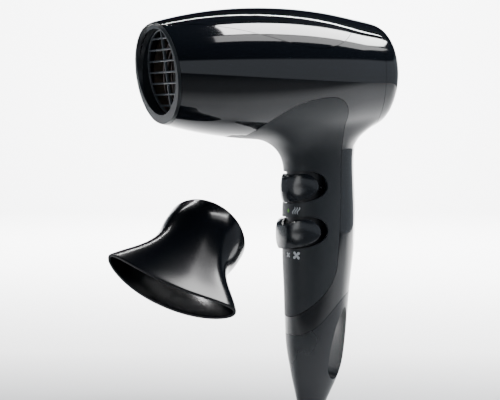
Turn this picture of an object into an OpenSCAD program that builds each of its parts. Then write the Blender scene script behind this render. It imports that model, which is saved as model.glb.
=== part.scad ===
/* [Barrel] */
// Distance from the centre of the outlet rim to the rear end
barrel_length = 139.8; // [136:0.2:150]
// Greatest outside radius of the barrel
barrel_radius = 36.4; // [35:0.2:44]
// Outside radius at the outlet rim
rim_radius = 26.8; // [26.4:0.2:29]
// Outside radius of the barrel where the rear cap starts
cap_radius = 30.3; // [29.5:0.1:31.5]
// Distance from the outlet rim to the widest place
widest_at = 73; // [60:1:90]
// Depth of the domed rear end
dome_depth = 12; // [10:0.5:14]
// Height of the barrel's axis above the middle of the grip
barrel_height = 79.2; // [77:0.2:90]
// Distance from the grip's centre line forward to the outlet rim
outlet_reach = 100.8; // [95:0.2:122]
// Angle by which the top of the rim leans forward
rim_rake = 8; // [0:1:12]
// Wall of the housing
wall = 3; // [2.4:0.1:3.6]
// Thickness of the pieces let into the housing
cover_wall = 1.4; // [1.1:0.1:1.7]
// Gap between visible pieces along a seam
seam_gap = 0.15; // [0.1:0.05:0.3]

/* [Handle] */
// Distance from the middle of the grip down to the handle's end
handle_drop = 108; // [90:1:132]
// Half the grip's depth, front to back, at its fullest
grip_half_depth = 21.3; // [20:0.1:25]
// Half the grip's width, side to side, at its fullest
grip_half_width = 16.6; // [16:0.1:20]
// Radius of the front fillet between handle and barrel
front_fillet = 18; // [12:1:22]
// Radius of the rear fillet between handle and barrel
rear_fillet = 12; // [6:1:12]
// Radius of the side fillets between handle and barrel
side_fillet = 8; // [4:1:10]
// Height of the front end of the seam above the handle's end
end_seam_front = 41; // [38:1:46]
// Rise of that seam towards the rear
end_seam_rise = 24.5; // [18:0.5:28]

/* [Outlet and concentrator] */
// Radius of the bore that takes the concentrator
outlet_bore = 23.1; // [20:0.05:23.4]
// Length of that bore
outlet_bore_length = 4.4; // [3.5:0.1:5]
// Number of level bars in the outlet grille
grille_bars = 7; // [5:2:9]
// Distance between the bars
grille_pitch = 6; // [5:0.1:6.5]
// Radial clearance of the concentrator's collar in the bore
collar_clearance = 0.2; // [0.1:0.05:0.4]
// Length of the collar
collar_length = 9; // [7:0.5:12]
// Length of the whole concentrator
nozzle_length = 57.5; // [50:0.5:66]
// Half the width of the concentrator's mouth
mouth_half_width = 36.8; // [32:0.1:44]
// Half the height of the concentrator's mouth
mouth_half_height = 8.6; // [7:0.1:10]
// How far the middle of the mouth stands ahead of its ends
mouth_bow = 9; // [5:0.5:11]
// Wall of the concentrator
nozzle_wall = 1.8; // [1.4:0.1:2.4]

/* [Switches] */
// Height of a rocker
rocker_height = 17; // [15:0.5:18]
// Distance between the two rockers' middles
rocker_spacing = 25.3; // [24.5:0.1:28]
// Height of the upper rocker's middle above the middle of the grip
heat_rocker_z = 15.8; // [14:0.1:17]
// Half of the arc that a rocker covers
rocker_half_angle = 89; // [80:1:92]
// Travel of a rocker to each side
rocker_travel = 16; // [10:1:17]
// Radius of the rockers' faces
rocker_radius = 14.6; // [14.2:0.1:15.4]
// Gap between a rocker and its window
window_gap = 0.45; // [0.3:0.05:0.6]
// Radius of the pins that the rockers turn on
pivot_pin = 1.5; // [1.2:0.1:1.9]
// Radial running clearance on every pin and shaft
running_fit = 0.04; // [0.02:0.01:0.08]

/* [Heater] */
// Number of turns of the full-heat winding
high_turns = 9; // [6:1:10]
// Number of turns of the half-heat winding
low_turns = 5; // [3:1:6]
// Radius of the heating wire
wire_radius = 0.55; // [0.4:0.05:0.7]
// Thickness of a mica board
mica = 0.8; // [0.6:0.1:1.2]

/* [Motor and fan] */
// Outside radius of the motor's can
motor_radius = 12; // [10.5:0.1:12.8]
// Radius of the motor's shaft
shaft_radius = 1.15; // [1:0.05:1.6]
// Number of fan blades
blade_count = 9; // [5:1:11]
// Angle of the fan blades to the fan's plane
blade_pitch = 38; // [25:1:45]
// Clearance between the fan and its duct
fan_clearance = 0.7; // [0.5:0.1:1.2]
// Number of fixed vanes behind the fan
vane_count = 7; // [5:1:9]

/* [Cord inlet] */
// Radius of the hole that the cord goes through
cord_bore = 3.35; // [2.6:0.05:4]
// Wall of the cord gland
gland_wall = 1.55; // [1.2:0.05:2]
// Length of the gland's bore
gland_length = 14; // [11:0.5:16]

/* [Screws] */
// Radius of a housing screw's thread
screw_radius = 1.2; // [1:0.1:1.5]
// Radius of its head
screw_head = 2.2; // [1.8:0.1:2.5]

/* [Hidden] */
$fn = 72;
// Sides of the round forms that make up the faceted shells
shell_sides = 40;

eps = 0.01;
joint_gap = 0.03;
far = 200;
rim_x = -outlet_reach;
rear_x = rim_x + barrel_length;
axis_z = barrel_height;
cap_from = barrel_length - dome_depth;
rim_power = 2.2;
seat_inset = cover_wall + 0.1;
duct_radius = rim_radius - 1.2;
lip = 1.6;
gloss = "#10141b";
matte = "#343a41";
satin = "#23282e";
dark = "#17191c";
steel = "#b9bcc0";
copper = "#b5713a";

// ---- Shapes that several pieces share -------------------------------------------------------

// Outside radius of the barrel at a distance u behind the rim, less an inset all round
function body_radius(u) =
    u < widest_at
    ? barrel_radius - (barrel_radius - rim_radius) * ((widest_at - u) / widest_at) ^ rim_power
    : barrel_radius - (barrel_radius - cap_radius) * ((u - widest_at) / (cap_from - widest_at)) ^ 2;
function barrel_r(u, inset) =
    u <= cap_from
    ? body_radius(u) - inset
    : let (t = min(1, (u - cap_from) / (dome_depth - inset)))
      max(0, (body_radius(u) - inset) * (1 - t ^ 4) ^ 0.25);

// Points evenly along a cubic curve from a to d, drawn towards b and c
function curve(a, b, c, d, n = 14) =
    [for (i = [0:n]) let (t = i / n, s = 1 - t)
        a * s ^ 3 + 3 * b * s ^ 2 * t + 3 * c * s * t ^ 2 + d * t ^ 3];

// The grip's sections: height, shift of its middle along X, share of the fullest section
GRIP = [
    [-handle_drop, -4.6, 0.39],
    [-handle_drop * 0.954, -4.1, 0.446],
    [-handle_drop * 0.889, -3.2, 0.559],
    [-handle_drop * 0.769, -1.7, 0.732],
    [-handle_drop * 0.611, -2.0, 0.831],
    [-handle_drop * 0.389, -1.3, 0.892],
    [-4, 0, 1],
    [axis_z * 0.36, 0, 0.934],
    [axis_z * 0.6, 0, 0.94],
    [axis_z * 0.8, 0, 0.94]];
function slope(i, k) =
    let (a = max(i - 1, 0), b = min(i + 1, len(GRIP) - 1))
    (GRIP[b][k] - GRIP[a][k]) / (GRIP[b][0] - GRIP[a][0]);
function grip_at(z, k) =
    let (i = max([for (j = [0:len(GRIP) - 2]) if (j == 0 || z >= GRIP[j][0]) j]),
         h = GRIP[i + 1][0] - GRIP[i][0],
         t = min(max((z - GRIP[i][0]) / h, 0), 1))
    GRIP[i][k] * (1 + 2 * t) * (1 - t) ^ 2 + slope(i, k) * h * t * (1 - t) ^ 2
    + GRIP[i + 1][k] * t ^ 2 * (3 - 2 * t) + slope(i + 1, k) * h * t ^ 2 * (t - 1);
function limit(v, low, high) = min(max(v, low), high);
function fillet(z, from, radius, sweep) =
    let (d = limit(z - from, 0, radius * sin(sweep))) radius - sqrt(radius ^ 2 - d ^ 2);
front_from = axis_z - body_radius(outlet_reach - grip_half_depth) - front_fillet;
rear_from = axis_z - body_radius(outlet_reach + grip_half_depth + rear_fillet) - rear_fillet + 0.4;
side_from = axis_z - barrel_radius + 0.6 * side_fillet - 0.4;
function grip_front(z) =
    grip_at(z, 1) - grip_at(z, 2) * grip_half_depth - fillet(z, front_from, front_fillet, 89.9);
function grip_rear(z) =
    grip_at(z, 1) + grip_at(z, 2) * grip_half_depth + fillet(z, rear_from, rear_fillet, 89.9);
function grip_side(z) =
    grip_at(z, 2) * grip_half_width + fillet(z, side_from - 5, side_fillet, 62);
grip_levels = concat(
    [for (i = [0:12]) -handle_drop + i * (handle_drop + 22) / 13],
    [for (z = [22:3.6:axis_z * 0.74]) z]);
section_points = 26;
section_power = 2.3;
function bulge(c) = sign(c) * abs(c) ^ (2 / section_power);
function section(z, inset) =
    let (f = grip_front(z) + inset, r = grip_rear(z) - inset, w = grip_side(z) - inset)
    [for (i = [0:section_points - 1]) let (a = i * 360 / section_points)
        [(f + r) / 2 + bulge(cos(a)) * (r - f) / 2, bulge(sin(a)) * w, z]];

module along_axis(x) {
    translate([x, 0, axis_z]) rotate([0, 90, 0]) children();
}
module tube(x0, x1, outer, inner) {
    along_axis(x0) difference() {
        cylinder(h = x1 - x0, r = outer);
        translate([0, 0, -1]) cylinder(h = x1 - x0 + 2, r = inner);
    }
}
module rod(x0, x1, radius) {
    along_axis(x0) cylinder(h = x1 - x0, r = radius);
}
module side_cut(width = far) {
    rotate([90, 0, 0]) linear_extrude(height = width, center = true) children();
}

// The barrel as a solid of revolution, from just ahead of the rim to the domed end
module barrel_form(inset) {
    last = barrel_length - inset;
    us = concat([for (u = [-6:11:cap_from]) u], [cap_from],
        [for (i = [1:6]) cap_from + (last - cap_from) * sin(i * 15)]);
    along_axis(rim_x) rotate_extrude($fn = shell_sides) polygon(concat([[0, -6]],
        [for (u = us) [barrel_r(u, inset), u]], [[0, last]]));
}
// The handle, lofted through its sections
module handle_form(inset) {
    rings = [for (z = grip_levels) section(z, inset)];
    n = section_points;
    points = [for (ring = rings) for (p = ring) p];
    walls = [for (k = [0:len(rings) - 2]) for (i = [0:n - 1])
        [k * n + i, (k + 1) * n + i, (k + 1) * n + (i + 1) % n, k * n + (i + 1) % n]];
    top = (len(rings) - 1) * n;
    polyhedron(points, concat([[for (i = [0:n - 1]) i]], walls,
        [[for (i = [0:n - 1]) top + n - 1 - i]]));
}
module form(inset) {
    barrel_form(inset);
    handle_form(inset);
}
// Everything ahead of the raked rim, moved back by a distance
module ahead_of_rim(back = 0) {
    translate([rim_x, 0, axis_z]) rotate([0, -rim_rake, 0])
        translate([back - far, -far / 2, -far / 2]) cube(far);
}

// ---- Where the seams run, seen from the side ------------------------------------------------

top_seam_low = [-19, axis_z + 12.9];
top_seam = concat(
    curve([rim_x - 4, axis_z + 23.8], [rim_x + 36, axis_z + 28], [-38, axis_z + 12.5], top_seam_low),
    curve(top_seam_low, [-4, axis_z + 12.9], [10, axis_z + 23], [14, axis_z + barrel_radius]));
module top_zone() {
    side_cut() polygon(concat(top_seam, [[14, axis_z + 60], [rim_x - 20, axis_z + 60],
        [rim_x - 20, axis_z + 23.8]]));
}
grip_top = [-10, axis_z - 13.5];
grip_seam = concat(
    curve([-52, axis_z - 34], [-42, axis_z - 21], [-26, axis_z - 13.5], grip_top),
    curve(grip_top, [0, axis_z - 13.5], [5.5, axis_z - 22], [5.5, axis_z - 36]),
    curve([4.3, 0], [3.6, -14], [3.2, -22], [2.5, -30]),
    curve([2.5, -30], [0, -42], [-12, -50], [-22, -58]));
module grip_zone(grow = 0) {
    side_cut() offset(delta = grow)
        polygon(concat(grip_seam, [[-60, -58], [-60, axis_z - 38]]));
}
end_span = [-grip_half_depth + 1.3, grip_half_depth - 3.3];
function end_seam_z(x) =
    let (t = limit((x - end_span[0]) / (end_span[1] - end_span[0]), 0, 1))
    -handle_drop + end_seam_front + end_seam_rise * t ^ 2 * (3 - 2 * t);
module end_zone(lift = 0) {
    side_cut() polygon(concat([for (x = [-40:2:40]) [x, end_seam_z(x) + lift]],
        [[40, -far], [-40, -far]]));
}
cap_seam_side = rim_x + cap_from - 2;
cap_seam_sag = 5.5;
cap_seam_radius = (cap_radius ^ 2 + cap_seam_sag ^ 2) / (2 * cap_seam_sag);
module cap_zone(shift = 0) {
    difference() {
        translate([cap_seam_side + shift, -60, axis_z - 60]) cube(120);
        for (side = [-1, 1])
            difference() {
                translate([cap_seam_side + shift - 1, -60, axis_z - 60])
                    cube([cap_seam_sag + 1, 120, 120]);
                translate([cap_seam_side + shift + cap_seam_radius, 0, axis_z]) rotate([90, 0, 0])
                    cylinder(h = 140, r = cap_seam_radius, center = true);
            }
    }
}

// ---- Screws, hooks and windows --------------------------------------------------------------

boss_radius = screw_head + 0.8;
screw_half = 9;
top_screw_z = axis_z + duct_radius + boss_radius + 0.4;
SCREWS = [[-45, top_screw_z], [2, top_screw_z], [-10, 33], [-11, -44.2]];
module at_screws() {
    for (s = SCREWS) translate([s[0], 0, s[1]]) rotate([90, 0, 0]) children();
}
module bosses() {
    intersection() {
        form(seat_inset);
        for (s = SCREWS) {
            translate([s[0], 0, s[1]]) rotate([90, 0, 0])
                cylinder(h = far, r = boss_radius, center = true, $fn = 20);
            for (side = [-1, 1]) for (way = [-1, 1])
                hull() for (reach = [boss_radius - 1, boss_radius + 4])
                    translate([s[0] + side * reach, way * 24, s[1]]) rotate([90, 0, 0])
                        cylinder(h = 40, r = 0.6, center = true, $fn = 8);
        }
    }
}
top_hooks = [for (i = [2:9]) top_seam[i] + [0, 3.6]];
grip_hooks = [[-40, axis_z - 27], [-28, axis_z - 21], [-14, axis_z - 18], [1, axis_z - 28],
    [1.5, 32], [0.5, -2], [-1, -28], [-15.5, -49.5]];
hook_depth = seat_inset + 2.6;
module hooks(places, grow = 0) {
    intersection() {
        difference() {
            form(cover_wall - 0.3);
            form(hook_depth + grow);
        }
        for (p = places)
            hull() for (side = [-1, 1])
                translate([p[0] + side * 1.2, 0, p[1]]) rotate([90, 0, 0])
                    cylinder(h = far, r = 0.9 + grow, center = true, $fn = 8);
    }
}
ROCKERS = [heat_rocker_z, heat_rocker_z - rocker_spacing];
rocker_half = rocker_height / 2;
window_half = rocker_half + window_gap;
pivot_x = grip_half_depth * -0.39;
rocker_inner = rocker_radius - 3.1;
carrier_radius = rocker_inner - 0.3;
// A rocker's outline from the side, rising to a crown and drawn out to a tip at the rear
rocker_front = pivot_x - rocker_radius - 1;
rocker_tip = [pivot_x - rocker_radius * cos(rocker_half_angle), 0.15 * rocker_half];
rocker_outline = concat(
    curve([rocker_front, 0.42 * rocker_half], [-20.5, 1.12 * rocker_half],
        [rocker_tip[0] - 2, 1.24 * rocker_half], rocker_tip, 12),
    curve(rocker_tip, [rocker_tip[0], -0.46 * rocker_half], [-17, -0.74 * rocker_half],
        [rocker_front, -rocker_half], 12));
// The window clears the outline over the whole travel
window_tip = [pivot_x - rocker_radius * cos(rocker_half_angle + rocker_travel) + 1, rocker_tip[1]];
window_outline = concat(
    curve([rocker_front - 2, 0.74 * window_half], [-21, 1.24 * window_half],
        [window_tip[0] - 0.6, 1.32 * window_half], window_tip, 12),
    curve(window_tip, [window_tip[0] - 0.4, -0.6 * window_half], [-14, -0.9 * window_half],
        [rocker_front - 2, -1.04 * window_half], 12));
module windows() {
    for (z = ROCKERS) side_cut() translate([0, z]) polygon(window_outline);
}
carrier_low = ROCKERS[1] - window_half - 1.4;
carrier_high = ROCKERS[0] + window_half + 1.4;

// ---- Housing --------------------------------------------------------------------------------

locating_ribs = [-26, 12];
module housing_half() {
    difference() {
        union() {
            difference() {
                union() {
                    difference() {
                        form(0);
                        top_zone();
                        grip_zone(seam_gap);
                    }
                    form(seat_inset);
                }
                form(wall);
            }
            bosses();
            intersection() {
                form(seat_inset);
                for (x = locating_ribs)
                    tube(x, x + 1.6, barrel_radius, duct_radius + 0.15, $fn = shell_sides);
            }
        }
        ahead_of_rim(lip + seam_gap);
        cap_zone(-seam_gap);
        end_zone(seam_gap);
        windows();
        translate([pivot_x, 0, carrier_low - 0.3])
            cylinder(h = carrier_high - carrier_low + 0.6, r = carrier_radius + 0.3, $fn = 32);
        rod(rim_x - 8, rim_x + 12, duct_radius - 0.6, $fn = shell_sides);
        hooks(top_hooks, 0.2);
        hooks(grip_hooks, 0.2);
        at_screws() cylinder(h = 2 * screw_half, r = screw_radius + 0.1, center = true, $fn = 16);
        for (x = locating_ribs) translate([x - 1, -5, axis_z - barrel_radius + wall])
            cube([4, 10, barrel_radius - duct_radius - wall + 0.5]);
    }
}
module shell_left() {
    color(gloss) difference() {
        mirror([0, 1, 0]) difference() {
            housing_half();
            translate([-far, joint_gap - 2 * far, -far]) cube(2 * far);
        }
        at_screws() translate([0, 0, screw_half - 2])
            cylinder(h = far, r = screw_head + 0.2, $fn = 20);
    }
}
module shell_right() {
    color(gloss) difference() {
        housing_half();
        translate([-far, joint_gap - 2 * far, -far]) cube(2 * far);
    }
}
module top_cover() {
    color(gloss) difference() {
        union() {
            intersection() {
                difference() {
                    barrel_form(0);
                    barrel_form(cover_wall);
                }
                translate([0, 0, seam_gap]) top_zone();
            }
            hooks(top_hooks);
        }
        ahead_of_rim(lip + seam_gap);
    }
}
module grip_panel() {
    color(matte) difference() {
        union() {
            intersection() {
                difference() {
                    form(0);
                    form(cover_wall);
                }
                grip_zone();
            }
            hooks(grip_hooks);
        }
        windows();
    }
}

// ---- End piece with the hanging loop and the cord inlet -------------------------------------

gland_x = -6.4;
gland_radius = cord_bore + gland_wall;
gland_top = -handle_drop + gland_length - 1.8;
// The loop's hole is swept by a growing disc: X, height above the handle's end, radius
LOOP = [[10.4, 55.5, 1.4], [6.5, 40, 8.1], [4.6, 20.4, 5.2]];
function loop_at(t) = LOOP[0] * (1 - t) ^ 2 + LOOP[1] * 2 * t * (1 - t) + LOOP[2] * t ^ 2;
loop_steps = 9;
module loop_disc(t) {
    p = loop_at(t);
    translate([p[0], p[1] - handle_drop]) circle(r = p[2], $fn = 40);
}
module hanging_hole() {
    side_cut() for (i = [0:loop_steps - 1]) hull() {
        loop_disc(i / loop_steps);
        loop_disc((i + 1) / loop_steps);
    }
}
spigot = 6;
module end_loop() {
    color(satin) difference() {
        union() {
            intersection() {
                handle_form(0);
                end_zone();
            }
            intersection() {
                handle_form(wall + 0.25);
                end_zone(spigot);
            }
        }
        hanging_hole();
        translate([gland_x, 0, -handle_drop - 1])
            cylinder(h = gland_top + handle_drop + 1.1, r = gland_radius + 0.05);
        translate([gland_x - 2, 0, gland_top - 1]) cylinder(h = far / 2, r = cord_bore + 0.3);
    }
}
module cord_gland() {
    color(dark) translate([gland_x, 0, gland_top - gland_length]) rotate_extrude()
        polygon([[cord_bore, 0], [gland_radius + 0.4, 0], [gland_radius + 1, 0.6],
            [gland_radius + 1, 1.6], [gland_radius, 1.6], [gland_radius, gland_length],
            [cord_bore, gland_length]]);
}
clamp_z = carrier_low - 19;
module cord_clamp() {
    color("#d8d8d2") difference() {
        translate([gland_x - 5.5, -9, clamp_z]) cube([3, 18, 6]);
        for (side = [-1, 1]) translate([gland_x - 7, side * 6.4, clamp_z + 3]) rotate([0, 90, 0])
            cylinder(h = 7, r = screw_radius + 0.1);
    }
}
module clamp_screws() {
    color(steel) for (side = [-1, 1])
        translate([gland_x - 7, side * 6.4, clamp_z + 3]) rotate([0, 90, 0]) {
            cylinder(h = 1.4, r = screw_head - 0.2);
            cylinder(h = 8, r = screw_radius);
        }
}
module shell_screws() {
    color(steel) at_screws() {
        translate([0, 0, 1 - screw_half]) cylinder(h = 2 * screw_half - 3, r = screw_radius);
        translate([0, 0, screw_half - 2]) difference() {
            cylinder(h = 1.8, r = screw_head);
            for (turn = [0, 90]) rotate([0, 0, turn]) translate([-1.3, -0.25, 0.9]) cube([2.6, 0.5, 2]);
        }
    }
}

// ---- Outlet ---------------------------------------------------------------------------------

bore_from = rim_x + 3.2;
bore_to = bore_from + outlet_bore_length;
module outlet_ring() {
    color(dark) difference() {
        union() {
            intersection() {
                barrel_form(0);
                rod(rim_x - 8, rim_x + 8, far);
                ahead_of_rim(lip);
            }
            rod(rim_x - 6, bore_to, duct_radius - 0.8);
        }
        ahead_of_rim();
        rod(rim_x - 10, bore_from, outlet_bore + 1.1);
        rod(rim_x - 10, bore_to + 1, outlet_bore);
    }
}
grille_x = bore_to + 0.5;
grille_depth = 1.4;
grille_rim = duct_radius - 0.8;
// The inner edge stands inside the bore, so that the collar stops against it
grille_ledge = outlet_bore - 1.5;
module outlet_grille() {
    color("#8d9196") {
        tube(grille_x, grille_x + grille_depth, grille_rim, grille_ledge);
        intersection() {
            rod(grille_x, grille_x + grille_depth, grille_rim - 0.8);
            union() {
                for (i = [0:grille_bars - 1])
                    translate([grille_x, -far / 2,
                        axis_z + (i - (grille_bars - 1) / 2) * grille_pitch - 0.65])
                        cube([grille_depth, far, 1.3]);
                translate([grille_x, -0.65, axis_z - 40]) cube([grille_depth, 1.3, 80]);
            }
        }
    }
}

// ---- Heater ---------------------------------------------------------------------------------

heater_from = grille_x + grille_depth + 0.2;
heater_to = -33;
heater_outer = duct_radius - 1;
board_half = heater_outer - 1.2;
high_radius = board_half - 1.6;
low_radius = high_radius - 5;
coil_from = heater_from + 5;
coil_pitch = (heater_to - heater_from - 16) / high_turns;
module heater_tube() {
    color("#c9b48a") tube(heater_from, heater_to + 0.8, heater_outer, heater_outer - 0.6);
}
module windings(radius, count, grow = 0) {
    for (i = [0:count - 1]) along_axis(coil_from + i * coil_pitch) rotate_extrude()
        translate([radius, 0]) circle(r = wire_radius + grow, $fn = 20);
}
module board(half_slot_from) {
    difference() {
        translate([heater_from + 1, -mica / 2, axis_z - board_half])
            cube([heater_to - heater_from - 1, mica, 2 * board_half]);
        translate([half_slot_from, -mica, axis_z - mica / 2 - 0.05])
            cube([(heater_to - heater_from) / 2 + 0.6, 2 * mica, mica + 0.1]);
    }
}
module mica_board_upright() {
    color("#cbb98f") difference() {
        board(heater_from);
        windings(high_radius, high_turns, 0.08);
        windings(low_radius, low_turns, 0.08);
    }
}
module mica_board_level() {
    color("#cbb98f") difference() {
        translate([0, 0, axis_z]) rotate([90, 0, 0]) translate([0, 0, -axis_z])
            board((heater_from + heater_to) / 2 - 0.4);
        windings(high_radius, high_turns, 0.08);
        windings(low_radius, low_turns, 0.08);
    }
}
module coil(radius, count, turn) {
    windings(radius, count);
    translate([0, 0, axis_z]) rotate([turn, 0, 0]) translate([coil_from - 1, 0, radius + 0.2])
        rotate([0, 90, 0]) cylinder(h = (count - 1) * coil_pitch + 6, r = wire_radius);
}
module heater_coil_high() {
    color(copper) coil(high_radius, high_turns, 45);
}
module heater_coil_low() {
    color(copper) coil(low_radius, low_turns, 45);
}
module thermostat() {
    color("#3a3f45") translate([heater_to - 6, mica / 2 + 0.1, axis_z + 8]) rotate([-90, 0, 0]) {
        cylinder(h = 3, r = 4.4);
        translate([0, 0, 3]) cylinder(h = 1.2, r = 3);
    }
}
module thermal_fuse() {
    color("#d6d9dc") translate([heater_to - 11, -mica / 2 - 2, axis_z - 8]) rotate([0, 90, 0]) {
        cylinder(h = 9, r = 1.7);
        translate([0, 0, -2.4]) cylinder(h = 13.8, r = 0.5);
    }
}

// ---- Motor and fan --------------------------------------------------------------------------

duct_from = heater_to + 1;
duct_to = 18.2;
duct_inner = duct_radius - 1;
can_from = -27;
can_to = -4;
cup_radius = motor_radius + 2.2;
module motor_mount() {
    color("#2b2e33") difference() {
        union() {
            tube(duct_from, duct_to, duct_radius, duct_inner);
            rod(can_from - 2.2, can_to + 2, cup_radius);
            for (i = [0:vane_count - 1])
                translate([0, 0, axis_z]) rotate([i * 360 / vane_count, 0, 0])
                    translate([can_from + 1, -0.6, cup_radius - 1])
                        cube([18, 1.2, duct_inner - cup_radius + 1.4]);
        }
        rod(can_from, can_to + 3, motor_radius + 1);
        rod(can_from - 3, can_from + 1, 4);
    }
}
module motor_sleeve() {
    color("#15171a") tube(can_from + 6, can_to - 4, motor_radius + 0.95, motor_radius + 0.05);
}
module motor_can() {
    color(steel) difference() {
        rod(can_from + 0.1, can_to, motor_radius);
        rod(can_from + 1.1, can_to + 1, motor_radius - 0.8);
        rod(can_from - 1, can_from + 2, bearing_radius + 0.05);
    }
}
magnet_radius = motor_radius - 0.85;
module motor_magnets() {
    color("#3c3f44") difference() {
        tube(can_from + 3, can_to - 4, magnet_radius, magnet_radius - 1.9);
        for (side = [-1, 1]) translate([can_from, side * magnet_radius - 3.5, axis_z - magnet_radius])
            cube([30, 7, 2 * magnet_radius]);
    }
}
bearing_radius = shaft_radius + 2;
bearing_length = 3;
module bearing(x) {
    color("#c9a45c") tube(x, x + bearing_length, bearing_radius, shaft_radius + running_fit);
}
module front_bearing() {
    bearing(can_from + 0.1);
}
module rear_bearing() {
    bearing(can_to + 0.1);
}
module motor_end_cap() {
    color("#e4e2d8") tube(can_to + 0.1, can_to + 0.1 + bearing_length, motor_radius - 0.1,
        bearing_radius + 0.05);
}
armature_radius = magnet_radius - 2.5;
commutator_x = can_to - 3.6;
commutator_radius = shaft_radius + 2.4;
module motor_brushes() {
    color("#4a4640") for (side = [-1, 1])
        translate([commutator_x + 0.4, side * (commutator_radius + 2.1) - 1.9, axis_z - 1.2])
            cube([2, 3.8, 2.4]);
}
module motor_shaft() {
    color(steel) rod(can_from - 1, 16.8, shaft_radius);
}
press = 0.005;
module armature() {
    color(copper) difference() {
        rod(can_from + 4.5, can_to - 5.5, armature_radius);
        rod(can_from, can_to, shaft_radius + press);
        for (i = [0:4]) translate([0, 0, axis_z]) rotate([i * 72, 0, 0])
            translate([can_from, -0.7, armature_radius * 0.45]) cube([30, 1.4, armature_radius]);
    }
}
module commutator() {
    color("#c98a4b") tube(commutator_x, commutator_x + 2.8, commutator_radius, shaft_radius + press);
}
fan_from = 1;
fan_to = 15;
hub_radius = 8.5;
fan_radius = duct_inner - fan_clearance;
module impeller() {
    color("#3a3d42") difference() {
        union() {
            rod(fan_from, fan_to, hub_radius);
            intersection() {
                rod(fan_from + 0.5, fan_to - 0.5, fan_radius);
                for (i = [0:blade_count - 1]) translate([(fan_from + fan_to) / 2, 0, axis_z])
                    rotate([i * 360 / blade_count, 0, 0]) rotate([0, 0, 90 - blade_pitch])
                        translate([-13, -0.6, hub_radius - 1]) cube([26, 1.2, fan_radius]);
            }
        }
        rod(fan_from - 1, fan_to + 1, shaft_radius + press);
        rod(fan_from - 1, fan_from + 6, hub_radius - 2.5);
    }
}
module fan_guard() {
    color("#23262a") {
        tube(duct_to + 0.2, duct_to + 1.8, duct_radius - 0.4, duct_radius - 2.4);
        for (r = [6, 12, 18]) tube(duct_to + 0.2, duct_to + 1.8, r, r - 1.4);
        intersection() {
            rod(duct_to + 0.2, duct_to + 1.8, duct_radius - 1);
            for (turn = [0, 60, 120]) translate([0, 0, axis_z]) rotate([turn, 0, 0])
                translate([duct_to + 0.2, -0.7, -40]) cube([1.6, 1.4, 80]);
        }
    }
}

// ---- Rear cap -------------------------------------------------------------------------------

cap_wall = 2.2;
cap_collar_gap = 0.6;
collar_outer = body_radius(cap_from) - wall - cap_collar_gap;
collar_inner = duct_radius - 0.1;
cap_web = rim_x + cap_from + 3.9;
slot_rings = [5, 9.2, 13.4, 17.6];
slot_width = 2.4;
module rear_cap() {
    color(gloss) difference() {
        union() {
            intersection() {
                difference() {
                    barrel_form(0);
                    barrel_form(cap_wall);
                }
                cap_zone();
            }
            tube(duct_to + 2.6, cap_web + 1, collar_outer, collar_inner);
            tube(cap_web, cap_web + 1.8, barrel_r(cap_from + 4, 1), filter_radius - 1.4);
        }
        difference() {
            for (r = slot_rings) tube(rear_x - 8, rear_x + 2, r + slot_width, r);
            for (turn = [0, 60, 120]) translate([0, 0, axis_z]) rotate([turn, 0, 0])
                translate([rear_x - 10, -1.2, -40]) cube([20, 2.4, 80]);
        }
    }
}
filter_x = cap_web + 2;
filter_radius = barrel_r(cap_from + 8, cap_wall) - 0.4;
module filter_frame() {
    color(dark) tube(filter_x, filter_x + 2, filter_radius, filter_radius - 2.6);
}
mesh_pitch = 3.8;
module filter_mesh() {
    color("#7d8288") intersection() {
        rod(filter_x + 0.6, filter_x + 1.2, filter_radius - 2.65);
        for (i = [-6:6]) {
            translate([filter_x, i * mesh_pitch - 0.4, axis_z - 40]) cube([3, 0.8, 80]);
            translate([filter_x, -40, axis_z + i * mesh_pitch - 0.4]) cube([3, 80, 0.8]);
        }
    }
}

// ---- Switches -------------------------------------------------------------------------------

web = 1.6;
slot = web + 0.8;
hub = 4;
carrier_back = pivot_x + 6.3;
module switch_carrier() {
    color(dark) difference() {
        translate([pivot_x, 0, carrier_low])
            cylinder(h = carrier_high - carrier_low, r = carrier_radius);
        translate([carrier_back, -40, -far / 2]) cube([80, 80, far]);
        for (z = ROCKERS) intersection() {
            translate([pivot_x, 0, z - slot / 2]) cylinder(h = slot, r = carrier_radius + 1);
            translate([-60, -40, z - slot]) cube([60 + pivot_x + hub + 0.8, 80, 2 * slot]);
        }
        translate([pivot_x, 0, carrier_low - 1])
            cylinder(h = carrier_high - carrier_low + 2, r = pivot_pin + 0.01);
    }
}
module rocker_pins() {
    color(steel) for (z = ROCKERS) translate([pivot_x, 0, z - 6])
        cylinder(h = 12, r = pivot_pin);
}
function sector(angle, reach) = concat([[0, 0]],
    [for (i = [-4:4]) reach * [-cos(i * angle / 4), sin(i * angle / 4)]]);
module rocker(z) {
    translate([pivot_x, 0, z]) difference() {
        union() {
            intersection() {
                translate([0, 0, -rocker_half]) difference() {
                    union() {
                        cylinder(h = rocker_height, r = rocker_radius);
                        translate([-rocker_radius, 0, 0]) cylinder(h = rocker_height, r = 0.9);
                    }
                    translate([0, 0, -1]) cylinder(h = rocker_height + 2, r = rocker_inner);
                }
                translate([-pivot_x, 0, 0]) side_cut() polygon(rocker_outline);
            }
            translate([0, 0, -web / 2]) linear_extrude(height = web) union() {
                circle(r = hub);
                intersection() {
                    circle(r = rocker_inner + 1);
                    polygon(sector(20, 3 * rocker_radius));
                }
            }
        }
        translate([0, 0, -web]) cylinder(h = 2 * web, r = pivot_pin + running_fit);
    }
}
module heat_rocker() {
    color(matte) rocker(ROCKERS[0]);
}
module speed_rocker() {
    color(matte) rocker(ROCKERS[1]);
}
board_x = carrier_back + 6.6;
module switch_board() {
    color("#2f6b45") translate([board_x, -10.5, carrier_low - 10])
        cube([1.6, 21, carrier_high - carrier_low + 9]);
}
module switch_unit(z) {
    translate([board_x - 6.1, -7, z - 6]) cube([6, 14, 12]);
}
module heat_switch() {
    color("#26282b") switch_unit(ROCKERS[0]);
}
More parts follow.
